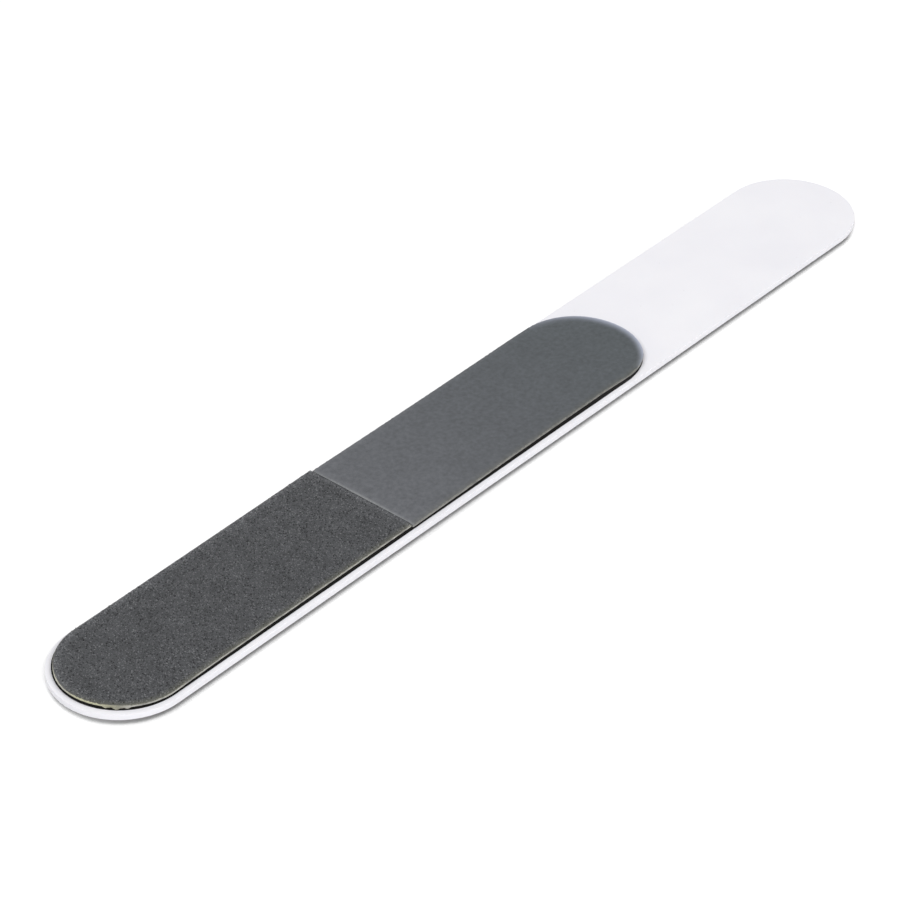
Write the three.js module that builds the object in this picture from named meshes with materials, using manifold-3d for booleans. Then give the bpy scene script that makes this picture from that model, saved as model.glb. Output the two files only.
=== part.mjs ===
// A flat nail file. A white plastic plate with full-round ends carries a thin black foam cushion on its top
// face, and two abrasive sheets lie end to end on the cushion: a coarse one at the tip and a finer one
// behind it. The last third of the plate is bare and is the handle.
//
// Sizes are in millimetres. X runs along the file, from the coarse tip to the bare handle end, Y runs across
// it and Z points up out of the abrasive face. The origin is the middle of the plate's underside.

import * as THREE from "three";
import { mergeVertices } from "three/addons/utils/BufferGeometryUtils.js";
import Module from "manifold-3d";

// The plate
const FILE_LENGTH = 180;
const FILE_WIDTH = 22;
const PLATE_THICKNESS = 1;
const PLATE_EDGE_RADIUS = 0.2;

// The pad's place on the plate
const PAD_SIDE_MARGIN = 0.8;
const PAD_TIP_MARGIN = 1;
const COARSE_LENGTH = 60.9;
const FINE_LENGTH = 61.3;
const SEAM_CLEARANCE = 0.1;

// The pad's layers, from the plate up
const BASE_FILM_THICKNESS = 0.05;
const FOAM_THICKNESS = 0.6;
const SHEET_FILM_THICKNESS = 0.05;
const COARSE_PAPER_THICKNESS = 0.22;
const COARSE_GRIT_DEPTH = 0.25;
const FINE_PAPER_THICKNESS = 0.2;
const FINE_GRIT_DEPTH = 0.15;

// The pad's rim, which the cutting die presses down
const RIM_ROLL_WIDTH = 0.9;
const RIM_ROLL_DROP = 0.14;

// How finely curves are cut into facets
const QUARTER_TURN_FACETS = 16;
const EDGE_FACETS = 3;
const ROLL_FACETS = 4;

const wasm = await Module();
wasm.setup();

// Places along X and Y that follow from the sizes
const plateTipX = -FILE_LENGTH / 2;
const plateEndX = FILE_LENGTH / 2;
const plateHalfWidth = FILE_WIDTH / 2;
const padTipX = plateTipX + PAD_TIP_MARGIN;
const seamX = padTipX + COARSE_LENGTH;
const padEndX = seamX + FINE_LENGTH;
const padHalfWidth = plateHalfWidth - PAD_SIDE_MARGIN;
const halfSeam = SEAM_CLEARANCE / 2;

// Heights, each the seat of the next layer
const foamSeat = PLATE_THICKNESS + BASE_FILM_THICKNESS;
const sheetSeat = foamSeat + FOAM_THICKNESS;
const paperSeat = sheetSeat + SHEET_FILM_THICKNESS;

const whitePlastic = new THREE.MeshStandardMaterial({ color: 0xf1f0f4, roughness: 0.42, metalness: 0 });
const clearAdhesive = new THREE.MeshStandardMaterial({ color: 0xd8d3c4, roughness: 0.3, metalness: 0 });
const blackFoam = new THREE.MeshStandardMaterial({ color: 0x1b1a19, roughness: 0.95, metalness: 0 });
const creamPaper = new THREE.MeshStandardMaterial({ color: 0xc8c5b2, roughness: 0.9, metalness: 0 });
const coarseMineral = new THREE.MeshStandardMaterial({ color: 0x57585a, roughness: 0.9, metalness: 0 });
const fineMineral = new THREE.MeshStandardMaterial({ color: 0x686b6e, roughness: 0.8, metalness: 0 });

// The outline of a bar with two full-round ends, drawn counter-clockwise.
function stadium(startX, endX, halfWidth) {
  const outline = new THREE.Shape();
  outline.moveTo(startX + halfWidth, -halfWidth);
  outline.lineTo(endX - halfWidth, -halfWidth);
  outline.absarc(endX - halfWidth, 0, halfWidth, -Math.PI / 2, Math.PI / 2, false);
  outline.lineTo(startX + halfWidth, halfWidth);
  outline.absarc(startX + halfWidth, 0, halfWidth, Math.PI / 2, (3 * Math.PI) / 2, false);
  return outline;
}

// The pad's outline, drawn in by inset all round.
function padOutline(inset) {
  return stadium(padTipX + inset, padEndX - inset, padHalfWidth - inset);
}

// How far the pressed rim lies below the pad's flat face, at a distance inset from the outline.
function rimDip(inset) {
  return RIM_ROLL_DROP * (1 - inset / RIM_ROLL_WIDTH) ** 2;
}

// The rings of a pad surface whose flat part lies at height z, from the outline in to where the roll ends.
function rolledRings(z) {
  const rings = [];
  for (let step = 0; step <= ROLL_FACETS; step += 1) {
    const inset = (RIM_ROLL_WIDTH * step) / ROLL_FACETS;
    rings.push({ inset, z: z - rimDip(inset) });
  }
  return rings;
}

// One ring of a flat pad surface at height z.
function flatRing(z) {
  return [{ inset: 0, z }];
}

// A closed slab lofted from its under side's rings, taken from the outline in, to its upper side's.
function loftedSlab(underRings, upperRings) {
  const rings = [...underRings].reverse().concat(upperRings);
  const loops = rings.map((ring) => padOutline(ring.inset).extractPoints(QUARTER_TURN_FACETS).shape);
  const count = loops[0].length;
  const positions = [];
  loops.forEach((loop, row) => loop.forEach((p) => positions.push(p.x, p.y, rings[row].z)));

  const indices = [];
  for (let row = 0; row + 1 < loops.length; row += 1) {
    for (let i = 0; i < count; i += 1) {
      const a = row * count + i;
      const b = row * count + ((i + 1) % count);
      indices.push(a, b, b + count, a, b + count, a + count);
    }
  }
  const top = (loops.length - 1) * count;
  for (const [a, b, c] of THREE.ShapeUtils.triangulateShape(loops[0], [])) {
    indices.push(c, b, a);
  }
  for (const [a, b, c] of THREE.ShapeUtils.triangulateShape(loops[loops.length - 1], [])) {
    indices.push(top + a, top + b, top + c);
  }
  const slab = new THREE.BufferGeometry();
  slab.setAttribute("position", new THREE.Float32BufferAttribute(positions, 3));
  slab.setIndex(indices);
  return slab;
}

// A geometry as a solid that can be cut.
function solidOf(geometry) {
  const bare = geometry.clone();
  bare.deleteAttribute("normal");
  bare.deleteAttribute("uv");
  const merged = mergeVertices(bare);
  return new wasm.Manifold(
    new wasm.Mesh({
      numProp: 3,
      vertProperties: new Float32Array(merged.attributes.position.array),
      triVerts: new Uint32Array(merged.index.array),
    }),
  );
}

// A solid back as a geometry.
function geometryOf(solid) {
  const mesh = solid.getMesh();
  const geometry = new THREE.BufferGeometry();
  geometry.setAttribute("position", new THREE.BufferAttribute(mesh.vertProperties, 3));
  geometry.setIndex(new THREE.BufferAttribute(mesh.triVerts, 1));
  return geometry;
}

// The stretch of a pad layer between two places along X, cut square across the file.
function cutAcross(layer, startX, endX) {
  const knife = new THREE.BoxGeometry(endX - startX, FILE_WIDTH, FILE_WIDTH);
  knife.translate((startX + endX) / 2, 0, 0);
  return geometryOf(solidOf(layer).intersect(solidOf(knife)));
}

function named(name, geometry, material) {
  geometry.computeVertexNormals();
  const mesh = new THREE.Mesh(geometry, material);
  mesh.name = name;
  return mesh;
}

// The plate: an extruded stadium whose two arrises are eased.
function corePlate() {
  const ease = Math.min(PLATE_EDGE_RADIUS, PLATE_THICKNESS / 2);
  const body = new THREE.ExtrudeGeometry(stadium(plateTipX, plateEndX, plateHalfWidth), {
    depth: PLATE_THICKNESS - 2 * ease,
    bevelThickness: ease,
    bevelSize: ease,
    bevelOffset: -ease,
    bevelSegments: EDGE_FACETS,
    curveSegments: QUARTER_TURN_FACETS,
  });
  body.translate(0, 0, ease);
  return named("core_plate", body, whitePlastic);
}

// The cushion on its adhesive film: flat below, with the pressed rim above.
function cushion() {
  const group = new THREE.Group();
  const film = loftedSlab(flatRing(PLATE_THICKNESS), flatRing(foamSeat));
  const foam = loftedSlab(flatRing(foamSeat), rolledRings(sheetSeat));
  group.add(named("foam_base_film", film, clearAdhesive));
  group.add(named("foam_cushion", foam, blackFoam));
  return group;
}

// An abrasive sheet: adhesive film, backing paper and grit coat, bent over the rim. It covers the part of the
// pad that lies between startX and endX.
function abrasiveSheet({ grade, startX, endX, paperThickness, gritDepth, mineral }) {
  const gritSeat = paperSeat + paperThickness;
  const layers = [
    ["film", sheetSeat, paperSeat, clearAdhesive],
    ["paper", paperSeat, gritSeat, creamPaper],
    ["grit", gritSeat, gritSeat + gritDepth, mineral],
  ];
  const group = new THREE.Group();
  for (const [layer, under, upper, material] of layers) {
    const whole = loftedSlab(rolledRings(under), rolledRings(upper));
    group.add(named(`${grade}_${layer}`, cutAcross(whole, startX, endX), material));
  }
  return group;
}

const coarseSheet = abrasiveSheet({
  grade: "coarse",
  startX: plateTipX,
  endX: seamX - halfSeam,
  paperThickness: COARSE_PAPER_THICKNESS,
  gritDepth: COARSE_GRIT_DEPTH,
  mineral: coarseMineral,
});

const fineSheet = abrasiveSheet({
  grade: "fine",
  startX: seamX + halfSeam,
  endX: plateEndX,
  paperThickness: FINE_PAPER_THICKNESS,
  gritDepth: FINE_GRIT_DEPTH,
  mineral: fineMineral,
});

const nailFile = new THREE.Group();
nailFile.name = "nail_file";
nailFile.add(corePlate(), cushion(), coarseSheet, fineSheet);

export default nailFile;
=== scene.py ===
# %% [markdown]
# # A two-grade nail file
# The object is a flat laminate. A white plastic plate carries a thin black foam pad, and two abrasive
# sheets lie end to end on the foam: a coarse one at the round tip, a finer one behind it. Each sheet is
# grit and resin on cream paper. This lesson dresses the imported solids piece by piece: shape first, then
# finish, and it never moves a solid.

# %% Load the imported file
import math

import bmesh
import bpy
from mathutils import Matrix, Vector, noise


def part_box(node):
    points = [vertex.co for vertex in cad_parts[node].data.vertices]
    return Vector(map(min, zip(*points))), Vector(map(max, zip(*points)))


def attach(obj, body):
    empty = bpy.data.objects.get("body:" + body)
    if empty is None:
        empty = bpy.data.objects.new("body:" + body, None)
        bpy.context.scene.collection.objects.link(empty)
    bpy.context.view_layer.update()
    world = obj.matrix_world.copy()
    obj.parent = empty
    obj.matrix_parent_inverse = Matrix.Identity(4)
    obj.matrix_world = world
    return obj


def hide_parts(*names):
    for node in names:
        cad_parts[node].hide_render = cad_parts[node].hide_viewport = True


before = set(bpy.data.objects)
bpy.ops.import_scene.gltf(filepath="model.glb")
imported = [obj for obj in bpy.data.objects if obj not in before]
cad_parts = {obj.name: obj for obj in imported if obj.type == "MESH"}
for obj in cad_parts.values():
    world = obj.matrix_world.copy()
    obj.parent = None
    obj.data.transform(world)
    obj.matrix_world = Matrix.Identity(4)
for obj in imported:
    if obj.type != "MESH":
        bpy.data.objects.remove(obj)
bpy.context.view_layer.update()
MM = 0.001
print("solids:", sorted(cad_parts))

# %% [markdown]
# ## Sizes come from the solids
# Every piece below sits exactly where its solid is, so heights, lengths and widths are read from the
# solids' boxes. Only what a box can't tell is written here: how wide the rolled rim is.

# %% Read the stack's sizes
plate_low, plate_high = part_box("core_plate")
foam_low, foam_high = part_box("foam_cushion")
coarse_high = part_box("coarse_grit")[1]
fine_low, fine_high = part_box("fine_grit")
PLATE_TOP = plate_high.z
FOAM_TOP = foam_high.z
RIM_DROP = FOAM_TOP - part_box("coarse_film")[0].z
RIM_WIDTH = 0.9 * MM
PAD_HALF_WIDTH = foam_high.y
PAD_TIP_X = foam_low.x
PAD_END_X = foam_high.x
TIP_CENTRE_X = PAD_TIP_X + PAD_HALF_WIDTH
END_CENTRE_X = PAD_END_X - PAD_HALF_WIDTH
print("foam", round((FOAM_TOP - foam_low.z) / MM, 3), "mm, rim drop", round(RIM_DROP / MM, 3), "mm")

# %% [markdown]
# ## The camera
# The picture is a long-lens view from above the coarse tip. A camera is easiest to place as a product
# photographer thinks of it: the point it looks at, the two angles, the distance and the lens.

# %% Place the camera
LOOK_AT = Vector((-8.150, -0.278, 0.0)) * MM
CAMERA_AZIMUTH = math.radians(-49.29)
CAMERA_ELEVATION = math.radians(35.80)
CAMERA_DISTANCE = 580.98 * MM
SENSOR_MM = 36.0
LENS_MM = 151.50
NEAREST_SEEN = 10 * MM

away = Vector((
    math.sin(CAMERA_AZIMUTH) * math.cos(CAMERA_ELEVATION),
    -math.cos(CAMERA_AZIMUTH) * math.cos(CAMERA_ELEVATION),
    math.sin(CAMERA_ELEVATION),
))
camera_data = bpy.data.cameras.new("photo_camera")
camera_data.sensor_width = SENSOR_MM
camera_data.lens = LENS_MM
camera_data.clip_start = NEAREST_SEEN
camera = bpy.data.objects.new("photo_camera", camera_data)
camera.location = LOOK_AT + away * CAMERA_DISTANCE
camera.rotation_euler = (-away).to_track_quat("-Z", "Y").to_euler()
bpy.context.scene.collection.objects.link(camera)
bpy.context.scene.camera = camera
bpy.context.scene.view_settings.view_transform = "Standard"
print("camera at", [round(x, 4) for x in camera.location])

# %% [markdown]
# ## Building materials and node trees
# Two small helpers keep the node code readable: one starts a material, the other adds a node, sets its
# inputs, and links any input that is given as a socket.

# %% Node helpers
def add_node(tree, kind, inputs=None, **settings):
    """A new node, with settings as attributes and inputs as values or as sockets to link from."""
    node = tree.nodes.new(kind)
    for key, value in settings.items():
        setattr(node, key, value)
    for socket, value in (inputs or {}).items():
        if isinstance(value, bpy.types.NodeSocket):
            tree.links.new(value, node.inputs[socket])
        else:
            node.inputs[socket].default_value = value
    return node


def start_material(name):
    """A material with its tree, its main shader and the object's own coordinates in metres."""
    material = bpy.data.materials.new(name)
    material.use_nodes = True
    tree = material.node_tree
    place = add_node(tree, "ShaderNodeTexCoord").outputs["Object"]
    return material, tree, tree.nodes["Principled BSDF"], place


print("node helpers ready")

# %% [markdown]
# Every finish is made of the same few nodes, so these get short names: soft noise, a colour ramp, a
# stretched range, a mix of two colours, arithmetic and a bump.

# %% Short names for common nodes
def noise_at(tree, place, size, detail=2.0, roughness=0.5):
    """Soft noise whose blots are about size metres wide."""
    settings = {"Vector": place, "Scale": 1 / size, "Detail": detail, "Roughness": roughness}
    return add_node(tree, "ShaderNodeTexNoise", settings).outputs["Fac"]


def ramp(tree, value, stops):
    """Colours by value: stops are (place, (r, g, b)) in rising order."""
    node = add_node(tree, "ShaderNodeValToRGB", {"Fac": value})
    elements = node.color_ramp.elements
    while len(elements) < len(stops):
        elements.new(0.5)
    for element, (at, colour) in zip(elements, stops):
        element.position = at
        element.color = (*colour, 1.0)
    return node.outputs["Color"]


def remap(tree, value, low, high, to_low=0.0, to_high=1.0, easing="LINEAR"):
    """A value stretched from one range to another, and held at its ends."""
    inputs = {"Value": value, "From Min": low, "From Max": high, "To Min": to_low, "To Max": to_high}
    return add_node(tree, "ShaderNodeMapRange", inputs, interpolation_type=easing).outputs["Result"]


def mix_colour(tree, share, under, over, blend="MIX"):
    """Two colours mixed by share."""
    node = add_node(tree, "ShaderNodeMix", data_type="RGBA", blend_type=blend)
    for socket, value in ((0, share), (6, under), (7, over)):
        if isinstance(value, bpy.types.NodeSocket):
            tree.links.new(value, node.inputs[socket])
        else:
            node.inputs[socket].default_value = value
    return node.outputs[2]


def arithmetic(tree, operation, first, second):
    """A Math node on two numbers or sockets."""
    return add_node(tree, "ShaderNodeMath", {0: first, 1: second}, operation=operation).outputs[0]


def bump(tree, height, depth, strength=1.0):
    """A normal from a height of depth metres."""
    settings = {"Height": height, "Distance": depth, "Strength": strength}
    return add_node(tree, "ShaderNodeBump", settings).outputs[0]


print("short names ready")

# %% [markdown]
# ## The studio
# The file lies on a white sweep between two large soft lights, one beyond the tip and one on the near side,
# and a pale room fills in the rest, so that the plate's top and every wall that shows come out equally
# white. The floor adds a little light of its own, only where it is seen directly, so that it reads as white
# without more light on the file, and the world does the same behind it. What is left of the shadow is the
# dark line at the foot of the plate: an occlusion node darkens the floor where the plate stands over it, most
# along the near side, and less and less round the two ends. The shades by side and by end say how much.

# %% Lay the floor
FLOOR_SIDE = 4.0
FLOOR_BELOW = 0.01 * MM
FLOOR_GREY = 0.90
FLOOR_OWN_LIGHT = 0.20
FOOT_SHADOW_REACH = 7.5 * MM
FOOT_SHADOW_DEPTH = 0.78
FOOT_SHADOW_LEAN = (0.60, 0.70, 0.39)
FOOT_DARK, FOOT_CLEAR = 0.49, 0.75
SIDE_FADE_TO = 6 * MM
SIDE_SHADES = ((0.0, 1.10), (0.08, 1.05), (0.4, 0.96), (0.76, 0.845), (1.0, 0.57))
END_FADE_FROM, END_FADE_TO = 79.5 * MM, 84.5 * MM
END_SHADE = 0.45


def seen_directly(tree):
    """1 on rays that show a thing as itself: from the camera, in gloss or through glass."""
    path = add_node(tree, "ShaderNodeLightPath")
    straight = arithmetic(tree, "MAXIMUM", path.outputs["Is Camera Ray"], path.outputs["Is Glossy Ray"])
    return arithmetic(tree, "MAXIMUM", straight, path.outputs["Is Transmission Ray"])


def floor_finish():
    material, tree, shader, place = start_material("white_sweep")
    tree.nodes.remove(shader)
    across = add_node(tree, "ShaderNodeSeparateXYZ", {"Vector": place}).outputs
    over = remap(tree, across["Y"], plate_low.y, SIDE_FADE_TO)
    by_side = ramp(tree, over, [(at, (level,) * 3) for at, level in SIDE_SHADES])
    by_end = remap(tree, across["X"], END_FADE_FROM, END_FADE_TO, 1.0, END_SHADE, easing="SMOOTHSTEP")
    lean = add_node(tree, "ShaderNodeCombineXYZ", dict(enumerate(FOOT_SHADOW_LEAN))).outputs[0]
    clear = add_node(tree, "ShaderNodeAmbientOcclusion", {"Distance": FOOT_SHADOW_REACH, "Normal": lean})
    full = remap(tree, clear.outputs["AO"], FOOT_DARK, FOOT_CLEAR, FOOT_SHADOW_DEPTH, 0.0,
                 easing="SMOOTHSTEP")
    shade = arithmetic(tree, "MULTIPLY", full, arithmetic(tree, "MULTIPLY", by_side, by_end))
    seen = seen_directly(tree)
    lit = arithmetic(tree, "SUBTRACT", 1.0, arithmetic(tree, "MULTIPLY", seen, shade))
    paper = add_node(tree, "ShaderNodeBsdfDiffuse", {"Color": arithmetic(tree, "MULTIPLY", lit, FLOOR_GREY)})
    own = arithmetic(tree, "MULTIPLY", arithmetic(tree, "MULTIPLY", seen, lit), FLOOR_OWN_LIGHT)
    glow = add_node(tree, "ShaderNodeEmission", {"Strength": own})
    both = add_node(tree, "ShaderNodeAddShader", {0: paper.outputs[0], 1: glow.outputs[0]})
    tree.links.new(both.outputs[0], tree.nodes["Material Output"].inputs["Surface"])
    return material


def lay_floor():
    half = FLOOR_SIDE / 2
    corners = [(-half, -half), (half, -half), (half, half), (-half, half)]
    mesh = bpy.data.meshes.new("floor")
    mesh.from_pydata([(x, y, -FLOOR_BELOW) for x, y in corners], [], [(0, 1, 2, 3)])
    mesh.materials.append(floor_finish())
    floor = bpy.data.objects.new("floor", mesh)
    bpy.context.scene.collection.objects.link(floor)


lay_floor()
print("floor laid,", FLOOR_SIDE, "m wide")

# %% Set the world and the lamps
WORLD_LEVEL = 0.27


def set_world():
    world = bpy.data.worlds.new("white_room")
    world.use_nodes = True
    tree = world.node_tree
    level = remap(tree, seen_directly(tree), 0.0, 1.0, WORLD_LEVEL, 1.0)
    tree.links.new(level, tree.nodes["Background"].inputs["Strength"])
    tree.nodes["Background"].inputs["Color"].default_value = (1.0, 1.0, 1.0, 1.0)
    bpy.context.scene.world = world


def hang_lamp(name, place, side, watts):
    """A square soft light at place, in metres, aimed at the file."""
    data = bpy.data.lights.new(name, "AREA")
    data.shape = "SQUARE"
    data.size = side
    data.energy = watts
    lamp = bpy.data.objects.new(name, data)
    lamp.location = place
    lamp.rotation_euler = (-Vector(place)).to_track_quat("-Z", "Y").to_euler()
    bpy.context.scene.collection.objects.link(lamp)


set_world()
hang_lamp("tip_softbox", place=(-1.94, -0.27, 2.33), side=1.6, watts=45.7)
hang_lamp("near_softbox", place=(0.27, -1.94, 2.33), side=2.2, watts=55.0)
print("white room and two softboxes set")

# %% [markdown]
# ## One way to shape every layer
# Plate, foam, paper and grit are all slabs with a rounded outline. A slab can be seen as a half section,
# from the middle of its top, out over the rim and back to the middle of its underside, carried round a
# spine: along one long side, round an end, and back. Stations along that path say where the spine is and
# which way the rim lies. Carrying a section round a path keeps the faces even, and lets the rim be
# ragged, dipped or rounded at will.

# %% Stations round a spine
def side_stations(from_x, to_x, angle, step):
    """Along one long side, without its last point."""
    count = max(1, round(abs(to_x - from_x) / step))
    return [(from_x + (to_x - from_x) * i / count, angle) for i in range(count)]


def end_stations(x, from_angle, radius, step):
    """Round a half turn about x, without its last point."""
    count = round(math.pi * radius / step)
    return [(x, from_angle + math.pi * i / count) for i in range(count)]


NEAR, FAR = -math.pi / 2, math.pi / 2


def closed_path(tip_x, end_x, radius, step):
    """All round a bar with two round ends, from centre tip_x to centre end_x."""
    return (
        side_stations(tip_x, end_x, NEAR, step)
        + end_stations(end_x, NEAR, radius, step)
        + side_stations(end_x, tip_x, FAR, step)
        + end_stations(tip_x, FAR, radius, step)
    )


def open_path(cut_x, centre_x, radius, step):
    """Round a bar that is cut square at cut_x and round at its other end, about centre_x."""
    start = NEAR if centre_x > cut_x else FAR
    back = start + math.pi
    return (
        side_stations(cut_x, centre_x, start, step)
        + end_stations(centre_x, start, radius, step)
        + side_stations(centre_x, cut_x, back, step)
        + [(cut_x, back)]
    )


print("way round the foam in mm:", len(closed_path(TIP_CENTRE_X, END_CENTRE_X, PAD_HALF_WIDTH, MM)))

# %% Carry a section round the stations
MERGE = 1e-8
SHARP_FROM = math.radians(38)


def swept_slab(name, stations, section, closed, place=None):
    """A closed mesh. section(station number) gives (reach from the spine, height) pairs from the middle of
    the top to the middle of the underside, and place turns (x, y, height) into the final point. Each point
    keeps its reach, for a finish that changes towards the rim."""
    shape = bmesh.new()
    kept_reach = shape.verts.layers.float.new("reach_mm")
    rows = []
    for number, (spine_x, angle) in enumerate(stations):
        row = []
        for reach, height in section(number):
            point = (spine_x + reach * math.cos(angle), reach * math.sin(angle), height)
            row.append(shape.verts.new(place(*point) if place else point))
            row[-1][kept_reach] = reach / MM
        rows.append(row)
    following = rows[1:] + rows[:1] if closed else rows[1:]
    for row, after in zip(rows, following):
        for i in range(len(row) - 1):
            shape.faces.new((row[i], row[i + 1], after[i + 1], after[i]))
    if not closed:
        shape.faces.new(rows[0] + rows[-1][-2:0:-1])
    bmesh.ops.remove_doubles(shape, verts=shape.verts, dist=MERGE)
    bmesh.ops.recalc_face_normals(shape, faces=shape.faces)
    mesh = bpy.data.meshes.new(name)
    shape.to_mesh(mesh)
    shape.free()
    mesh.shade_smooth()
    mesh.set_sharp_from_angle(angle=SHARP_FROM)
    piece = bpy.data.objects.new(name, mesh)
    bpy.context.scene.collection.objects.link(piece)
    return piece


print("faces turn sharp from", round(math.degrees(SHARP_FROM)), "degrees")

# %% [markdown]
# A finished piece then takes the place of its solid: it rides on the file's one body, and the solid, found
# by its name, is hidden.

# %% Tie a piece to its solid
def fit_piece(piece, node):
    """Puts a piece in the place of its solid."""
    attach(piece, "root")
    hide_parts(node)
    triangles = sum(len(face.vertices) - 2 for face in piece.data.polygons)
    print(f"{piece.name}: stands for {node}, {triangles} triangles, material {piece.data.materials[0].name}")


print("solids to dress:", len(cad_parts))

# %% [markdown]
# ## The white plate
# The plate is punched from white polystyrene sheet, so its two arrises are a little eased, the lower one
# more than the upper. It could be a bevelled box, but a section with two small arcs gives the same edge
# along the sides and round both full-round ends.

# %% Shape the plate
PLATE_STEP = 0.5 * MM
PLATE_RADIUS = plate_high.y
UPPER_EASE = 0.02 * MM
LOWER_EASE = 0.10 * MM
EASE_STEPS = 5
SUPPORT = 0.02 * MM
PLATE_TIP_CENTRE_X = plate_low.x + PLATE_RADIUS
PLATE_END_CENTRE_X = plate_high.x - PLATE_RADIUS


def eased_section():
    """The half section of the plate, with a narrow flat beside each arc to hold the shading."""
    top = [(0.0, PLATE_TOP), (PLATE_RADIUS - UPPER_EASE - SUPPORT, PLATE_TOP)]
    upper, lower = [], []
    for i in range(EASE_STEPS + 1):
        turn = math.pi / 2 * i / EASE_STEPS
        upper.append((
            PLATE_RADIUS - UPPER_EASE * (1 - math.sin(turn)),
            PLATE_TOP - UPPER_EASE * (1 - math.cos(turn)),
        ))
        lower.append((
            PLATE_RADIUS - LOWER_EASE * (1 - math.cos(turn)),
            LOWER_EASE * (1 - math.sin(turn)),
        ))
    under = [(PLATE_RADIUS - LOWER_EASE - SUPPORT, 0.0), (0.0, 0.0)]
    return top + upper + lower + under


plate_section = eased_section()
plate_path = closed_path(PLATE_TIP_CENTRE_X, PLATE_END_CENTRE_X, PLATE_RADIUS, PLATE_STEP)
plate = swept_slab("white_plate", plate_path, lambda number: plate_section, closed=True)
print("plate section points:", len(plate_section), "stations:", len(plate_path))

# %% [markdown]
# White polystyrene is never one flat white. Light creeps a little way into it, its skin has a faint
# ripple from the rollers, and handling leaves hair-fine scuffs and a few specks of dust. Subsurface light
# brightens the thin wall; the rest is soft noise at four scales, and a few cells for the specks.

# %% Finish the plate
def plate_finish():
    material, tree, shader, place = start_material("white_polystyrene")
    cloud = noise_at(tree, place, 14 * MM, detail=3.0)
    white = ramp(tree, cloud, [(0.3, (0.852, 0.845, 0.887)), (0.7, (0.892, 0.885, 0.919))])
    dust = add_node(
        tree, "ShaderNodeTexVoronoi", {"Vector": place, "Scale": 1 / (9 * MM), "Randomness": 1.0},
        voronoi_dimensions="2D",
    )
    speck = remap(tree, dust.outputs["Distance"], 0.006, 0.016, 1.0, 0.0)
    kept = arithmetic(tree, "GREATER_THAN", add_node(
        tree, "ShaderNodeSeparateColor", {"Color": dust.outputs["Color"]}).outputs["Red"], 0.45)
    speck = arithmetic(tree, "MULTIPLY", arithmetic(tree, "MULTIPLY", speck, kept), 0.2)
    colour = mix_colour(tree, speck, white, (0.42, 0.41, 0.42, 1.0))
    tree.links.new(colour, shader.inputs["Base Color"])
    stretched = add_node(tree, "ShaderNodeMapping", {"Vector": place, "Scale": (0.06, 1.0, 1.0)}).outputs[0]
    scuff = noise_at(tree, stretched, 0.35 * MM, detail=4.0, roughness=0.6)
    rough = remap(tree, scuff, 0.35, 0.7, 0.46, 0.58)
    tree.links.new(rough, shader.inputs["Roughness"])
    ripple = noise_at(tree, place, 5 * MM, detail=1.0)
    skin = noise_at(tree, place, 0.12 * MM, detail=2.0)
    relief = bump(tree, ripple, 0.012 * MM)
    fine = add_node(tree, "ShaderNodeBump", {
        "Height": arithmetic(tree, "ADD", skin, scuff), "Distance": 0.0016 * MM, "Normal": relief})
    tree.links.new(fine.outputs[0], shader.inputs["Normal"])
    shader.inputs["Specular IOR Level"].default_value = 0.30
    shader.inputs["Subsurface Weight"].default_value = 0.25
    shader.inputs["Subsurface Radius"].default_value = (1.0, 0.95, 0.92)
    shader.inputs["Subsurface Scale"].default_value = 0.25 * MM
    return material


plate.data.materials.append(plate_finish())
fit_piece(plate, "core_plate")

# %% [markdown]
# ## The pad's rolled rim
# A die cuts the laminate and presses its rim down, so foam, paper and grit all dip over the last
# millimetre. One function gives that dip at any place on the pad, from the distance to the foam's
# outline, and each layer is shaped with it, so the layers follow one another like the real ones.

# %% How far the rim dips
def foam_inset(x, y):
    """The distance from the foam's outline, inwards."""
    spine_x = min(max(x, TIP_CENTRE_X), END_CENTRE_X)
    return PAD_HALF_WIDTH - math.hypot(x - spine_x, y)


def rim_dip(x, y):
    """How far a layer lies below its flat face there."""
    share = 1 - foam_inset(x, y) / RIM_WIDTH
    return RIM_DROP * min(1.0, max(0.0, share)) ** 2


print("dip at the outline in mm:", round(rim_dip(0.0, PAD_HALF_WIDTH) / MM, 3))

# %% [markdown]
# The ends of the pad aren't true half rounds: some corners are a little fuller and some leaner, on the
# sheets more than on the foam. Each swell is a smooth bump on the outline, which moves points outwards or
# inwards, most at the rim.

# %% Fuller and leaner corners
# Each swell: how far the rim stands out in millimetres, where and over what span in degrees. Directions are
# counted from an end's own middle, and run on along the straight side by its length.
FOAM_END_SWELLS = ((0.17, -57, 27), (0.07, -88, 30), (0.05, -130, 50))
SHEET_END_SWELLS = ((0.36, -58, 75), (0.10, -52, 26), (-0.10, 75, 42))
SHEET_TIP_SWELLS = ((-0.22, 50, 46), (0.10, -85, 55))


def swollen(x, y, centre_x, swells):
    """Moves a point near a round end about centre_x as that end's swells say."""
    outward = 1 if centre_x > 0 else -1
    beyond = outward * (x - centre_x)
    out_x = max(0.0, beyond)
    turn = math.degrees(math.atan2(y, out_x) + math.copysign(max(0.0, -beyond) / PAD_HALF_WIDTH, y))
    at_turn = sum(swell * math.cos(math.pi / 2 * min(1.0, abs(turn - at) / span)) ** 2
                  for swell, at, span in swells)
    grow = at_turn * MM / PAD_HALF_WIDTH * (math.hypot(out_x, y) / PAD_HALF_WIDTH) ** 3
    return x + outward * out_x * grow, y + y * grow


def foam_corners(x, y):
    return swollen(x, y, END_CENTRE_X, FOAM_END_SWELLS)


def sheet_corners(x, y):
    if x > 0:
        return swollen(x, y, END_CENTRE_X, SHEET_END_SWELLS)
    return swollen(x, y, TIP_CENTRE_X, SHEET_TIP_SWELLS)


print("swells of foam and sheets:", len(FOAM_END_SWELLS), len(SHEET_END_SWELLS + SHEET_TIP_SWELLS))

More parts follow.
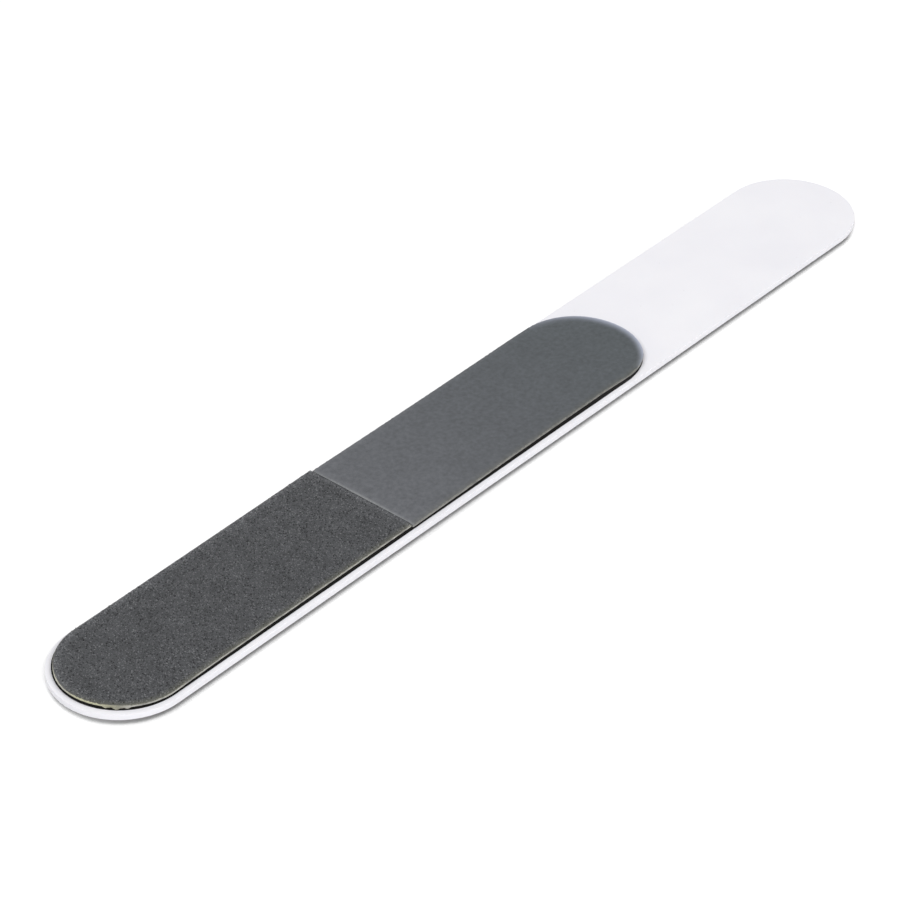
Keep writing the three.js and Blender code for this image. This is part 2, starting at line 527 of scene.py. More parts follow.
# %% [markdown]
# ## The adhesive films
# Thin clear films hold the foam to the plate and each sheet to the foam. They hardly show, but at the
# edge they catch a little light. They are plain slabs that follow the rim.

# %% Finish for the films, and the one under the foam
FILM_STEP = 0.6 * MM
FILM_SETBACK = 0.06 * MM
ROLL_WIDTH = 1.8 * MM
ROLL_STEPS = 10


def film_finish():
    material, tree, shader, place = start_material("clear_adhesive")
    haze = noise_at(tree, place, 0.8 * MM, detail=3.0)
    colour = ramp(tree, haze, [(0.3, (0.030, 0.029, 0.026)), (0.7, (0.060, 0.057, 0.050))])
    tree.links.new(colour, shader.inputs["Base Color"])
    tree.links.new(remap(tree, haze, 0.3, 0.7, 0.22, 0.4), shader.inputs["Roughness"])
    tree.links.new(bump(tree, noise_at(tree, place, 0.3 * MM), 0.01 * MM), shader.inputs["Normal"])
    return material


def spread(low, high, steps):
    """Even steps from low to high, with both ends."""
    return [low + (high - low) * i / steps for i in range(steps + 1)]


def film_section(low, high):
    """The half section of a film between two heights, with close steps where the rim rolls."""
    roll = spread(PAD_HALF_WIDTH - ROLL_WIDTH, PAD_HALF_WIDTH - FILM_SETBACK, ROLL_STEPS)
    return [(0.0, high)] + [(r, high) for r in roll] + [(r, low) for r in reversed(roll)] + [(0.0, low)]


film_material = film_finish()
base_low, base_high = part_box("foam_base_film")
base_path = closed_path(TIP_CENTRE_X, END_CENTRE_X, PAD_HALF_WIDTH, FILM_STEP)
base_film_section = film_section(base_low.z, base_high.z)
base_film = swept_slab("pad_base_film", base_path, lambda number: base_film_section, closed=True,
                       place=lambda x, y, height: (*foam_corners(x, y), height))
base_film.data.materials.append(film_material)
fit_piece(base_film, "foam_base_film")

# %% [markdown]
# ## The foam
# The pad under both sheets is one strip of black closed-cell foam, a little over half a millimetre thick.
# Its cut edge bulges slightly between the plate and the paper, and is pitted where the knife opened the
# cells. The pits are small next to the edge, so the wall gets fine steps and a soft raggedness, and the
# finish adds the cells, and a little dust towards the handle, where fingers are.

# %% Shape the foam
FOAM_STEP = 0.2 * MM
FOAM_BULGE = 0.05 * MM
FOAM_FLARE = 0.03 * MM
FOAM_RAGGED = 0.025 * MM
FOAM_WAVE = 0.5 * MM
FOAM_WAVE_SEED = 3.7
CELL_SIZE = 0.3 * MM
CELL_SEED = 11.3
WALL_STEPS = 5


def ragged(number, step, size, depth, seed):
    """A smooth random offset along a rim, up to about depth either way, over lengths of size."""
    return depth * noise.noise(Vector((number * step / size, seed, 0.0)))


def foam_section(number):
    rim = PAD_HALF_WIDTH + ragged(number, FOAM_STEP, FOAM_WAVE, FOAM_RAGGED, FOAM_WAVE_SEED)
    roll = spread(PAD_HALF_WIDTH - ROLL_WIDTH, rim, ROLL_STEPS)
    top = [(r, FOAM_TOP) for r in roll]
    wall = []
    for i in range(1, WALL_STEPS):
        share = i / WALL_STEPS
        swell = FOAM_BULGE * math.sin(math.pi * share) + FOAM_FLARE * share
        cell = ragged(number * WALL_STEPS + i, FOAM_STEP, CELL_SIZE, FOAM_RAGGED, CELL_SEED)
        wall.append((rim + swell + cell, FOAM_TOP + (foam_low.z - FOAM_TOP) * share))
    foot = rim + FOAM_FLARE
    return [(0.0, FOAM_TOP)] + top + wall + [(foot, foam_low.z), (0.0, foam_low.z)]


def foam_place(x, y, height):
    """The dip fades to nothing at the foam's foot, which lies flat on its film."""
    share = (height - foam_low.z) / (FOAM_TOP - foam_low.z)
    return *foam_corners(x, y), height - rim_dip(x, y) * share


foam_path = closed_path(TIP_CENTRE_X, END_CENTRE_X, PAD_HALF_WIDTH, FOAM_STEP)
foam = swept_slab("pad_foam", foam_path, foam_section, closed=True, place=foam_place)
print("foam:", len(foam_path), "stations,", len(foam.data.vertices), "points")

# %% Finish the foam
DUST_FROM_X = 5 * MM


def foam_finish():
    material, tree, shader, place = start_material("black_foam")
    cells = add_node(
        tree, "ShaderNodeTexVoronoi", {"Vector": place, "Scale": 1 / (0.11 * MM)}, feature="DISTANCE_TO_EDGE")
    wall = remap(tree, cells.outputs["Distance"], 0.0, 0.25, 1.0, 0.0)
    blot = noise_at(tree, place, 0.7 * MM, detail=3.0)
    black = ramp(tree, blot, [(0.3, (0.003, 0.003, 0.003)), (0.75, (0.008, 0.0075, 0.007))])
    cut = mix_colour(tree, arithmetic(tree, "MULTIPLY", wall, 0.6), black, (0.014, 0.0135, 0.012, 1.0))
    along = add_node(tree, "ShaderNodeSeparateXYZ", {"Vector": place}).outputs["X"]
    dust = remap(tree, along, DUST_FROM_X, PAD_END_X, 0.0, 0.05)
    colour = mix_colour(tree, dust, cut, (0.25, 0.25, 0.26, 1.0))
    tree.links.new(colour, shader.inputs["Base Color"])
    tree.links.new(bump(tree, cells.outputs["Distance"], 0.03 * MM, 0.8), shader.inputs["Normal"])
    shader.inputs["Roughness"].default_value = 0.92
    shader.inputs["Specular IOR Level"].default_value = 0.10
    return material


foam.data.materials.append(foam_finish())
fit_piece(foam, "foam_cushion")

# %% [markdown]
# ## How the sheets lie
# The two sheets were laid by hand, so neither is quite in line with the plate: each is turned a fraction
# of a degree and lies a little to the far side, is a hair wider than the foam, and the cut between them
# isn't quite square and curls where the knife left the far edge. That is why the black edge looks thicker
# in some places than in others. A layer's points are made in line with the file, then moved as the sheet
# lies, and only then dropped onto the foam.

# %% A sheet and how it lies
CUT_SKEW = 0.014
CUT_SHIFT = -0.06 * MM
CURL_FROM = 8.5 * MM
CURL_SPAN = 2.0 * MM


def draped(x, y, height):
    """A point of a layer whose flat part lies at that height."""
    return *sheet_corners(x, y), height - rim_dip(x, y)


class Sheet:
    """One abrasive sheet: its ends, its turn and shift on the pad, how much wider it is at each end than the
    foam, how far its sides curve in between, and how far its cut curls where the knife left the far edge."""

    def __init__(self, grade, cut_x, centre_x, turn_degrees, shift_y, wider_round, wider_cut, hollow, curl):
        self.grade = grade
        self.cut_x = cut_x
        self.centre_x = centre_x
        self.turn = math.radians(turn_degrees)
        self.shift_y = shift_y
        self.wider_round = wider_round
        self.wider_cut = wider_cut
        self.hollow = hollow
        self.curl = curl
        round_x = PAD_TIP_X if centre_x < cut_x else PAD_END_X
        self.middle_x = (cut_x + round_x) / 2
        self.length = abs(cut_x - round_x)

    def path(self, step):
        return open_path(self.cut_x, self.centre_x, PAD_HALF_WIDTH, step)

    def cut_line(self, y):
        """How far the cut lies along the file from where it is meant to be."""
        curl = self.curl * max(0.0, (y - CURL_FROM) / CURL_SPAN) ** 2
        return CUT_SHIFT + CUT_SKEW * y + curl

    def flat_place(self, x, y):
        """Where a point lies once the sheet is widened, cut askew, turned and shifted."""
        along = x - self.middle_x
        from_cut = abs(x - self.cut_x) / self.length
        wider = self.wider_cut + (self.wider_round - self.wider_cut) * from_cut
        # The hollow is full half way along the sheet and nothing at its ends.
        wider -= self.hollow * 4 * from_cut * (1 - from_cut)
        y *= 1 + wider / PAD_HALF_WIDTH
        x += self.cut_line(y) * (1 - from_cut) - y * math.sin(self.turn)
        return x, y + along * math.sin(self.turn) + self.shift_y

    def place(self, x, y, height):
        x, y = self.flat_place(x, y)
        return draped(x, y, height)

    def from_cut(self, x, y):
        """The distance of a placed point from the cut end."""
        return abs(x - self.cut_x - self.cut_line(y) + math.sin(self.turn) * y)


print("the cut is askew by", round(math.degrees(CUT_SKEW), 2), "degrees")

# %% Lay the two sheets
coarse = Sheet("coarse", coarse_high.x, TIP_CENTRE_X, turn_degrees=0.34, shift_y=0.155 * MM,
               wider_round=0.05 * MM, wider_cut=0.20 * MM, hollow=0.06 * MM, curl=0.33 * MM)
fine = Sheet("fine", fine_low.x, END_CENTRE_X, turn_degrees=0.25, shift_y=0.12 * MM,
             wider_round=0.08 * MM, wider_cut=0.14 * MM, hollow=0.14 * MM, curl=0.25 * MM)
for sheet in (coarse, fine):
    print(sheet.grade, "sheet:", round(sheet.length / MM, 2), "mm long")

# %% The sheets' films
for sheet in (coarse, fine):
    section = film_section(FOAM_TOP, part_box(f"{sheet.grade}_film")[1].z)
    film = swept_slab(f"{sheet.grade}_sheet_film", sheet.path(FILM_STEP), lambda number: section,
                      closed=False, place=sheet.place)
    film.data.materials.append(film_material)
    fit_piece(film, f"{sheet.grade}_film")

# %% [markdown]
# ## The backing paper
# Only the paper's cut edge shows, as a thin cream line between the black foam and the grey grit. The
# knife leaves it slightly ragged, so its rim wanders by a few hundredths of a millimetre. Round the tip the
# knife did worse: at the far corner the grit has chipped back from clean paper, further round it has flaked
# off and left the rim yellow, and at the front tufts of fibre, grey with grit dust, hang down over the foam.
# A share that is 1 in the middle of such a stretch and 0 away from it steers the shape and the colour.

# %% Worn stretches of the tip
# Stretches of the tip's rim: the middle and the span either way in degrees, and how softly it sets in.
BARE = (153, 25, 2.0)
TORN = (196, 27, 0.6)
LIP = (219, 11, 0.4)


def tip_share(stretch, x, y):
    """How far a stretch of the tip's rim has set in at a place on the pad, from 0 to 1."""
    middle, span, softness = stretch
    if x >= TIP_CENTRE_X:
        return 0.0
    turn = math.degrees(math.atan2(y, x - TIP_CENTRE_X)) % 360
    return math.cos(math.pi / 2 * min(abs(turn - middle) / span, 1.0)) ** softness


def at_rim(stretch, station):
    """The same at a station of a path."""
    spine_x, angle = station
    return tip_share(stretch, spine_x + PAD_HALF_WIDTH * math.cos(angle), PAD_HALF_WIDTH * math.sin(angle))


print("worn stretches are centred at", [stretch[0] for stretch in (BARE, TORN, LIP)], "degrees")

# %% Shape the paper
PAPER_STEP = 0.18 * MM
PAPER_RAGGED = 0.035 * MM
UPPER_WAVE, UPPER_SEED = 0.45 * MM, 21.0
LOWER_WAVE, LOWER_SEED = 0.6 * MM, 34.0
TUFT_SIZE, TUFT_SEED = 0.6 * MM, 103.37
LIP_HANG = 0.36 * MM
LIP_REACH = 0.10 * MM
FRAY_SWING = 1.5


def frayed(number, step, size, seed):
    """A random share from 0 to 1 along a rim, in tufts about size long."""
    return min(1.0, max(0.0, 0.5 + ragged(number, step, size, FRAY_SWING, seed)))


def paper_section_of(low, high, stations):
    """The half section at each station, with the tufts that hang over the foam."""
    def section(number):
        upper_rim = PAD_HALF_WIDTH + ragged(number, PAPER_STEP, UPPER_WAVE, PAPER_RAGGED, UPPER_SEED)
        lower_rim = PAD_HALF_WIDTH + ragged(number, PAPER_STEP, LOWER_WAVE, PAPER_RAGGED, LOWER_SEED)
        inner = PAD_HALF_WIDTH - ROLL_WIDTH
        top = [(r, high) for r in spread(inner, upper_rim, ROLL_STEPS)]
        under = [(r, low) for r in reversed(spread(inner, lower_rim, ROLL_STEPS))]
        hang = at_rim(LIP, stations[number]) * frayed(number, PAPER_STEP, TUFT_SIZE, TUFT_SEED)
        lip = (lower_rim + LIP_REACH * hang, low - LIP_HANG * hang)
        return [(0.0, high)] + top + [lip] + under + [(0.0, low)]
    return section


papers = {}
for sheet in (coarse, fine):
    film_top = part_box(f"{sheet.grade}_film")[1].z
    paper_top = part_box(f"{sheet.grade}_paper")[1].z
    stations = sheet.path(PAPER_STEP)
    papers[sheet.grade] = swept_slab(
        f"{sheet.grade}_sheet_paper", stations, paper_section_of(film_top, paper_top, stations),
        closed=False, place=sheet.place)
    print(sheet.grade, "paper:", len(stations), "stations")

# %% Finish the paper
PAPER_TINTS = {"coarse": (1.0, 1.0, 1.07), "fine": (0.66, 0.66, 0.73)}


def store_measure(mesh, name, measure):
    """Keeps a number on every point of a mesh, for the finish to read: measure(point, kept reach)."""
    reaches = [item.value for item in mesh.attributes["reach_mm"].data]
    values = [measure(v.co, reach) for v, reach in zip(mesh.vertices, reaches)]
    mesh.attributes.new(name, "FLOAT", "POINT").data.foreach_set("value", values)


def stored(tree, name):
    """A number that is kept on the points."""
    return add_node(tree, "ShaderNodeAttribute", attribute_name=name).outputs["Fac"]


def paper_finish(name, tint):
    """Cream paper, whose tint darkens, lightens or cools it as a whole."""
    material, tree, shader, place = start_material(name)
    fibre = noise_at(tree, place, 0.09 * MM, detail=5.0, roughness=0.65)
    stain = noise_at(tree, place, 1.6 * MM, detail=3.0)
    dull, pale, stained = [tuple(share * channel for share, channel in zip(tint, colour)) for colour in (
        (0.34, 0.335, 0.285), (0.60, 0.59, 0.51), (0.27, 0.265, 0.235))]
    cream = ramp(tree, fibre, [(0.25, dull), (0.75, pale)])
    aged = mix_colour(tree, remap(tree, stain, 0.42, 0.7), cream, (*stained, 1.0))
    torn = ramp(tree, fibre, [(0.3, (0.36, 0.35, 0.23)), (0.7, (0.66, 0.65, 0.47))])
    clean = mix_colour(tree, stored(tree, "bare"), aged, (0.56, 0.55, 0.46, 1.0))
    yellowed = mix_colour(tree, stored(tree, "torn"), clean, torn)
    soil = arithmetic(tree, "MULTIPLY", stored(tree, "soiled"), remap(tree, fibre, 0.3, 0.7, 0.75, 0.35))
    colour = mix_colour(tree, soil, yellowed, (0.16, 0.155, 0.11, 1.0))
    tree.links.new(colour, shader.inputs["Base Color"])
    tree.links.new(bump(tree, fibre, 0.02 * MM, 0.8), shader.inputs["Normal"])
    shader.inputs["Roughness"].default_value = 0.88
    shader.inputs["Specular IOR Level"].default_value = 0.3
    return material


for grade, paper in papers.items():
    store_measure(paper.data, "torn", lambda p, reach: tip_share(TORN, p.x, p.y))
    store_measure(paper.data, "bare", lambda p, reach: tip_share(BARE, p.x, p.y))
    store_measure(paper.data, "soiled", lambda p, reach: tip_share(LIP, p.x, p.y))
    paper.data.materials.append(paper_finish(f"{grade}_cream_paper", PAPER_TINTS[grade]))
    fit_piece(paper, f"{grade}_paper")

# %% [markdown]
# ## The grit coats
# A grit coat is resin with mineral grains bedded in it. Its rim has crumbled a little, so it stands back
# from the paper's edge by an uneven amount. The finish wears towards the cut, and it is paler towards the
# rim, partly from wear and partly from a painted reflection on the far side. Round the fine sheet's end a
# painted reflection lays a pale bluish band where the rolled rim would catch light at a grazing angle, so
# the distance from the cut and a share for that band are stored on the mesh beside the reach that it
# already keeps.

# %% Where the fine coat carries a painted reflection
# The painted reflection band: its two ends in degrees, its least and full width in millimetres, and how fast
# it sets in.
SHEEN_FROM, SHEEN_TO = -76, 98
SHEEN_NARROW, SHEEN_WIDE = 0.7, 1.95
SHEEN_RISE, SHEEN_FALL = 5.5, 2.2
SHEEN_SOFTNESS = 1.8


def painted_end_sheen(point, reach_mm):
    """How strongly a painted reflection shows at a point round the fine sheet's end, from 0 to 1: a pale band
    where the rolled rim would catch light at a grazing angle. The band sets in, narrow, at the near corner,
    and fades out, wide, on the far side."""
    if point.x <= END_CENTRE_X:
        return 0.0
    turn = math.degrees(math.atan2(point.y, point.x - END_CENTRE_X))
    along = min(1.0, max(0.0, (turn - SHEEN_FROM) / (SHEEN_TO - SHEEN_FROM)))
    width = SHEEN_NARROW + (SHEEN_WIDE - SHEEN_NARROW) * min(1.0, 2 * along)
    inset = PAD_HALF_WIDTH / MM - reach_mm
    strength = min(1.0, SHEEN_RISE * along, SHEEN_FALL * (1 - along))
    return strength * min(1.0, max(0.0, 1 - inset / width)) ** SHEEN_SOFTNESS


# Prints the span of the painted reflection band round the fine sheet's end.
print("painted sheen band from", SHEEN_FROM, "to", SHEEN_TO, "degrees round the end")

# %% Shape the two resin beds
COAT_STEP = 0.2 * MM
COAT_SETBACK = 0.02 * MM
COAT_RAGGED = 0.06 * MM
COAT_WAVE = 0.5 * MM
COAT_EDGE = 0.05 * MM
EDGE_EASE = 0.3 * COAT_EDGE
COAT_FLAKED = 0.14 * MM
COAT_CHIPPED = 0.08 * MM
COAT_PULLED = 0.09 * MM
FLAKE_SIZE, FLAKE_SEED = 0.3 * MM, 53.0
COARSE_WAVE_SEED, FINE_WAVE_SEED = 5.0, 9.0
ACROSS_STEPS = 4
GRAIN_STAND = 0.185 * MM


def coat_section_of(low, high, seed, stations):
    """The half section at each station, set back where the rim has flaked, chipped or been pulled."""
    def section(number):
        torn = at_rim(TORN, stations[number]) * frayed(number, COAT_STEP, FLAKE_SIZE, FLAKE_SEED)
        back = COAT_SETBACK + COAT_FLAKED * torn + COAT_CHIPPED * at_rim(BARE, stations[number])
        back += COAT_PULLED * at_rim(LIP, stations[number])
        rim = PAD_HALF_WIDTH - back + ragged(number, COAT_STEP, COAT_WAVE, COAT_RAGGED, seed)
        inner = PAD_HALF_WIDTH - ROLL_WIDTH
        across = [(r, high) for r in spread(0.0, inner, ACROSS_STEPS)]
        roll = [(r, high) for r in spread(inner, rim - COAT_EDGE, ROLL_STEPS)[1:]]
        edge = [(rim - EDGE_EASE, high - EDGE_EASE), (rim, high - COAT_EDGE)]
        under = [(rim, low), (inner, low), (0.0, low)]
        return across + roll + edge + under
    return section


def resin_bed(sheet, top, seed):
    """A sheet's coat without its grains, with the measures that its finish reads."""
    paper_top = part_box(f"{sheet.grade}_paper")[1].z
    stations = sheet.path(COAT_STEP)
    section = coat_section_of(paper_top, top, seed, stations)
    bed = swept_slab(f"{sheet.grade}_sheet_grit", stations, section, closed=False, place=sheet.place)
    store_measure(bed.data, "cut_mm", lambda p, reach: sheet.from_cut(p.x, p.y) / MM)
    # The share of the painted reflection round the fine sheet's end is kept on the points.
    store_measure(bed.data, "painted_end_sheen", painted_end_sheen)
    return bed


coarse_coat = resin_bed(coarse, coarse_high.z - GRAIN_STAND, COARSE_WAVE_SEED)
fine_coat = resin_bed(fine, fine_high.z, FINE_WAVE_SEED)
print("resin beds:", len(coarse_coat.data.vertices), "and", len(fine_coat.data.vertices), "points")

# %% [markdown]
# ## Coarse grains
# The coarse coat is sharp mineral shards about a fifth of a millimetre across. They repeat by the
# thousand over a surface, which is what Geometry Nodes is for: points are strewn on the bed with a least
# spacing, but not on its outermost rim, where the knife sheared the grains off. Each point gets a small
# faceted shard with its own turn, size and shade, and the instances are made real so that they stay when
# the mesh is kept.

# %% Strew the coarse grains
# Scales and shades run from least to most, grains are counted per square metre, and only faces whose normal
# is upward enough carry them.
GRAIN_SPACING = 0.2115 * MM
GRAIN_SIZE = 0.118 * MM
GRAIN_SEED = 7
GRAIN_INSET = 0.2 * MM
GRAIN_SCALES = (0.55, 1.25)
GRAIN_TURN = 6.28
GRAIN_SHADES = (0.12, 1.0)
SHADE_SEED = 3
MOST_GRAINS = 60e6
UPWARD = 0.6
SHARD_DEPTH = 1.5


def grain_tree(material):
    """The tree that strews grains on a bed, and the values for its inputs."""
    tree = bpy.data.node_groups.new("strewn_grains", "GeometryNodeTree")
    sockets = tree.interface
    sockets.new_socket("Bed", in_out="INPUT", socket_type="NodeSocketGeometry")
    spacing = sockets.new_socket("Grain spacing", in_out="INPUT", socket_type="NodeSocketFloat")
    size = sockets.new_socket("Grain size", in_out="INPUT", socket_type="NodeSocketFloat")
    seed = sockets.new_socket("Seed", in_out="INPUT", socket_type="NodeSocketInt")
    sockets.new_socket("Coat", in_out="OUTPUT", socket_type="NodeSocketGeometry")
    given = add_node(tree, "NodeGroupInput").outputs

    normal = add_node(tree, "GeometryNodeInputNormal").outputs["Normal"]
    upright = add_node(tree, "ShaderNodeSeparateXYZ", {"Vector": normal}).outputs["Z"]
    upward = add_node(tree, "FunctionNodeCompare", {0: upright, 1: UPWARD}, operation="GREATER_THAN")
    reach = add_node(tree, "GeometryNodeInputNamedAttribute", {"Name": "reach_mm"}, data_type="FLOAT")
    inside = add_node(tree, "FunctionNodeCompare", {
        0: reach.outputs["Attribute"], 1: (PAD_HALF_WIDTH - GRAIN_INSET) / MM}, operation="LESS_THAN")
    bedded = add_node(tree, "FunctionNodeBooleanMath", {0: upward.outputs[0], 1: inside.outputs[0]},
                      operation="AND")
    points = add_node(tree, "GeometryNodeDistributePointsOnFaces", {
        "Mesh": given["Bed"], "Selection": bedded.outputs[0], "Distance Min": given["Grain spacing"],
        "Density Max": MOST_GRAINS, "Seed": given["Seed"]}, distribute_method="POISSON")

    shard = add_node(tree, "GeometryNodeMeshCone", {
        "Vertices": 4, "Side Segments": 1, "Radius Top": 0.45, "Radius Bottom": 1.0, "Depth": SHARD_DEPTH})
    centred = add_node(tree, "GeometryNodeTransform", {
        "Geometry": shard.outputs["Mesh"], "Translation": (0.0, 0.0, -SHARD_DEPTH / 2)})
    turn = add_node(tree, "FunctionNodeRandomValue", {"Min": (0.0,) * 3, "Max": (GRAIN_TURN,) * 3},
                    data_type="FLOAT_VECTOR")
    scale = add_node(tree, "FunctionNodeRandomValue", {2: GRAIN_SCALES[0], 3: GRAIN_SCALES[1]},
                     data_type="FLOAT")
    sized = add_node(tree, "ShaderNodeMath", {0: scale.outputs[1], 1: given["Grain size"]},
                     operation="MULTIPLY")
    grains = add_node(tree, "GeometryNodeInstanceOnPoints", {
        "Points": points.outputs["Points"], "Instance": centred.outputs[0],
        "Rotation": turn.outputs[0], "Scale": sized.outputs[0]})
    shade = add_node(tree, "FunctionNodeRandomValue", {
        2: GRAIN_SHADES[0], 3: GRAIN_SHADES[1], "Seed": SHADE_SEED}, data_type="FLOAT")
    shaded = add_node(tree, "GeometryNodeStoreNamedAttribute", {
        "Geometry": grains.outputs[0], "Name": "grain_shade", "Value": shade.outputs[1]},
        data_type="FLOAT", domain="INSTANCE")
    real = add_node(tree, "GeometryNodeRealizeInstances", {"Geometry": shaded.outputs[0]})
    together = add_node(tree, "GeometryNodeJoinGeometry")
    tree.links.new(real.outputs[0], together.inputs[0])
    tree.links.new(given["Bed"], together.inputs[0])
    done = add_node(tree, "GeometryNodeSetMaterial", {
        "Geometry": together.outputs[0], "Material": material})
    add_node(tree, "NodeGroupOutput", {"Coat": done.outputs[0]})
    return tree, {spacing.identifier: GRAIN_SPACING, size.identifier: GRAIN_SIZE, seed.identifier: GRAIN_SEED}


def keep_result(piece, tree, values):
    """Runs a node tree on a piece once and keeps the result as its plain mesh."""
    modifier = piece.modifiers.new("nodes", "NODES")
    modifier.node_group = tree
    for identifier, value in values.items():
        modifier[identifier] = value
    depsgraph = bpy.context.evaluated_depsgraph_get()
    mesh = bpy.data.meshes.new_from_object(piece.evaluated_get(depsgraph))
    piece.modifiers.clear()
    piece.data = mesh


print("grains at least", round(GRAIN_SPACING / MM, 3), "mm apart")

# %% [markdown]
# The shards are silicon carbide: dark, glassy and sharp, so most are near black, some catch the light and
# a few are pale. The resin between them is a dull charcoal. Towards the rim the coat is painted paler: a
# little of that is wear, and the larger lift on the far side is a painted reflection, where the rolled rim
# would catch light at a grazing angle. On the near side paper dust warms it.

# %% Finish the coarse coat
NEAR_SPAN = 4 * MM


def from_rim(tree):
    """The distance from the sheet's rim, in millimetres."""
    return arithmetic(tree, "SUBTRACT", PAD_HALF_WIDTH / MM, stored(tree, "reach_mm"))


def across_file(tree, place):
    """The place across the file in metres, below 0 on the near side."""
    return add_node(tree, "ShaderNodeSeparateXYZ", {"Vector": place}).outputs["Y"]


def near_side_of(tree, place):
    """1 on the near half of the file, 0 on the far half, with a soft change between them."""
    return remap(tree, across_file(tree, place), -NEAR_SPAN, NEAR_SPAN, 1.0, 0.0)


def coarse_finish():
    material, tree, shader, place = start_material("coarse_grit")
    shade = stored(tree, "grain_shade")
    grain = ramp(tree, shade, [
        (0.0, (0.066, 0.068, 0.072)), (0.12, (0.012, 0.012, 0.014)), (0.32, (0.034, 0.035, 0.038)),
        (0.60, (0.087, 0.089, 0.095)), (1.0, (0.172, 0.175, 0.183))])
    blot = noise_at(tree, place, 3.0 * MM, detail=3.0)
    uneven = remap(tree, blot, 0.3, 0.7, 0.865, 1.105)
    rim = from_rim(tree)
    near_side = near_side_of(tree, place)
    # Painted reflection: the coat is lifted paler towards the rim, most on the far side, where the rolled rim
    # would catch light at a grazing angle; the smaller lift on the near side is partly wear.
    rim_sheen_and_wear = remap(tree, near_side, 0.0, 1.0, 1.54, 1.12)
    wear_and_sheen = remap(tree, rim, 0.0, 2.2, rim_sheen_and_wear, 1.0, easing="SMOOTHSTEP")
    by_cut = remap(tree, stored(tree, "cut_mm"), 0.35, 0.85, 1.42, 1.0, easing="SMOOTHSTEP")
    light = arithmetic(tree, "MULTIPLY", arithmetic(tree, "MULTIPLY", uneven, wear_and_sheen), by_cut)
    toned = mix_colour(tree, 1.0, grain, light, blend="MULTIPLY")
    dusty = arithmetic(tree, "MULTIPLY", near_side, remap(tree, rim, 0.1, 1.0, 0.09, 0.0))
    dusted = mix_colour(tree, dusty, toned, (0.30, 0.29, 0.12, 1.0))
    near_rim = remap(tree, rim, 0.04, 0.23, 1.0, 0.0)
    crumb = remap(tree, noise_at(tree, place, 0.16 * MM, detail=3.0), 0.46, 0.62)
    worn = arithmetic(tree, "MULTIPLY", near_rim, crumb)
    colour = mix_colour(tree, arithmetic(tree, "MULTIPLY", worn, 0.65), dusted, (0.30, 0.29, 0.23, 1.0))
    tree.links.new(colour, shader.inputs["Base Color"])
    tree.links.new(remap(tree, shade, 0.05, 0.9, 0.75, 0.42), shader.inputs["Roughness"])
    tree.links.new(bump(tree, noise_at(tree, place, 0.07 * MM, detail=3.0), 0.015 * MM),
                   shader.inputs["Normal"])
    shader.inputs["Specular IOR Level"].default_value = 0.25
    shader.inputs["Sheen Weight"].default_value = 0.10
    shader.inputs["Sheen Roughness"].default_value = 0.5
    return material


coarse_material = coarse_finish()
coarse_coat.data.materials.append(coarse_material)
grains, grain_values = grain_tree(coarse_material)
keep_result(coarse_coat, grains, grain_values)
fit_piece(coarse_coat, "coarse_grit")

# %% [markdown]
# ## The fine coat
# The finer sheet's grains are too small to see one by one: from a hand's width away the coat is an even
# mid grey with a faint mottle, a trace of warm dust on its near rim, and a paler line where its cut end was
# bruised against the coarse sheet, most in the middle of the file.

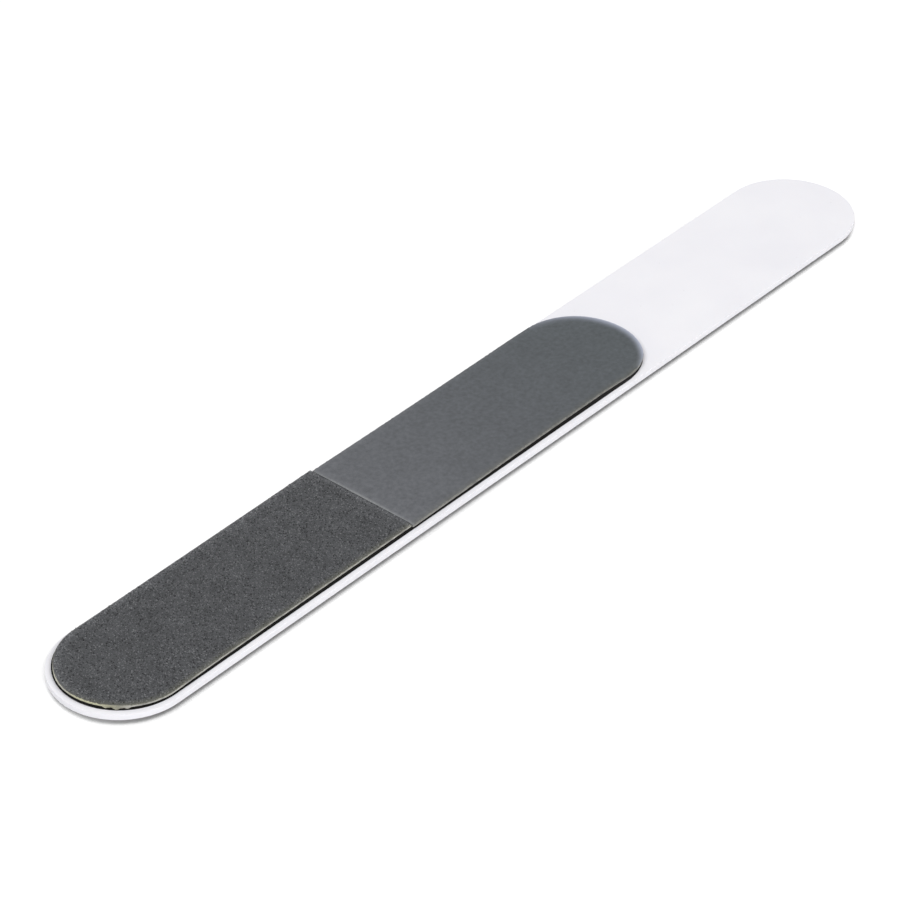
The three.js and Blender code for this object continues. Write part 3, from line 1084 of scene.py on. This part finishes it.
# %% Finish the fine coat
def fine_finish():
    material, tree, shader, place = start_material("fine_grit")
    speckle = noise_at(tree, place, 0.10 * MM, detail=4.0, roughness=0.7)
    cloud = noise_at(tree, place, 4.0 * MM, detail=4.0)
    grey = ramp(tree, speckle, [(0.3, (0.074, 0.078, 0.088)), (0.7, (0.112, 0.118, 0.132))])
    along = remap(tree, stored(tree, "cut_mm"), 0.0, 60.0)
    fade = ramp(tree, along, [
        (0.0, (1.27, 1.26, 1.23)), (0.018, (1.18, 1.17, 1.14)), (0.03, (1.06, 1.05, 1.03)),
        (0.5, (0.79, 0.81, 0.80)), (1.0, (0.65, 0.715, 0.70))])
    mottle = noise_at(tree, place, 0.75 * MM, detail=5.0, roughness=0.65)
    uneven = arithmetic(tree, "MULTIPLY", remap(tree, cloud, 0.3, 0.7, 0.95, 1.05),
                        remap(tree, mottle, 0.25, 0.75, 0.72, 1.28))
    rim = from_rim(tree)
    near_side = near_side_of(tree, place)
    # Painted reflection: the rim is lifted paler on the far side, where the rolled rim would catch light at a
    # grazing angle; the near side is lifted only a little.
    rim_sheen_and_wear = remap(tree, near_side, 0.0, 1.0, 1.15, 1.02)
    by_rim = remap(tree, rim, 0.0, 2.4, rim_sheen_and_wear, 1.0, easing="SMOOTHSTEP")
    light = arithmetic(tree, "MULTIPLY", uneven, by_rim)
    faded = mix_colour(tree, 1.0, grey, fade, blend="MULTIPLY")
    toned = mix_colour(tree, 1.0, faded, light, blend="MULTIPLY")
    dusty = arithmetic(tree, "MULTIPLY", near_side, remap(tree, rim, 0.1, 1.0, 0.05, 0.0))
    dusted = mix_colour(tree, dusty, toned, (0.27, 0.24, 0.06, 1.0))
    crumb = noise_at(tree, place, 0.25 * MM, detail=3.0)
    at_cut = remap(tree, stored(tree, "cut_mm"), 0.16, 0.60, 1.0, 0.0)
    from_middle = arithmetic(tree, "ABSOLUTE", across_file(tree, place), 0.0)
    seam = arithmetic(tree, "MULTIPLY", at_cut, remap(tree, from_middle, 0.0, 9 * MM, 1.0, 0.55))
    bruised = arithmetic(tree, "MULTIPLY", seam, remap(tree, crumb, 0.35, 0.6, 0.35, 1.0))
    at_seam = mix_colour(tree, bruised, dusted, (0.245, 0.25, 0.255, 1.0))
    near_rim = remap(tree, rim, 0.02, 0.15, 1.0, 0.0)
    worn = arithmetic(tree, "MULTIPLY", near_rim, remap(tree, crumb, 0.45, 0.62, 0.1, 0.6))
    wear_and_sheen = mix_colour(tree, worn, at_seam, (0.33, 0.32, 0.26, 1.0))
    # Painted reflection: a pale bluish colour laid in a band round the fine sheet's end, where the rolled rim
    # would catch light at a grazing angle.
    colour = mix_colour(tree, stored(tree, "painted_end_sheen"), wear_and_sheen, (0.45, 0.485, 0.60, 1.0))
    tree.links.new(colour, shader.inputs["Base Color"])
    tree.links.new(remap(tree, speckle, 0.3, 0.7, 0.55, 0.75), shader.inputs["Roughness"])
    tree.links.new(bump(tree, speckle, 0.03 * MM), shader.inputs["Normal"])
    shader.inputs["Specular IOR Level"].default_value = 0.30
    shader.inputs["Coat Weight"].default_value = 0.25
    shader.inputs["Coat Roughness"].default_value = 0.35
    return material


fine_coat.data.materials.append(fine_finish())
fit_piece(fine_coat, "fine_grit")
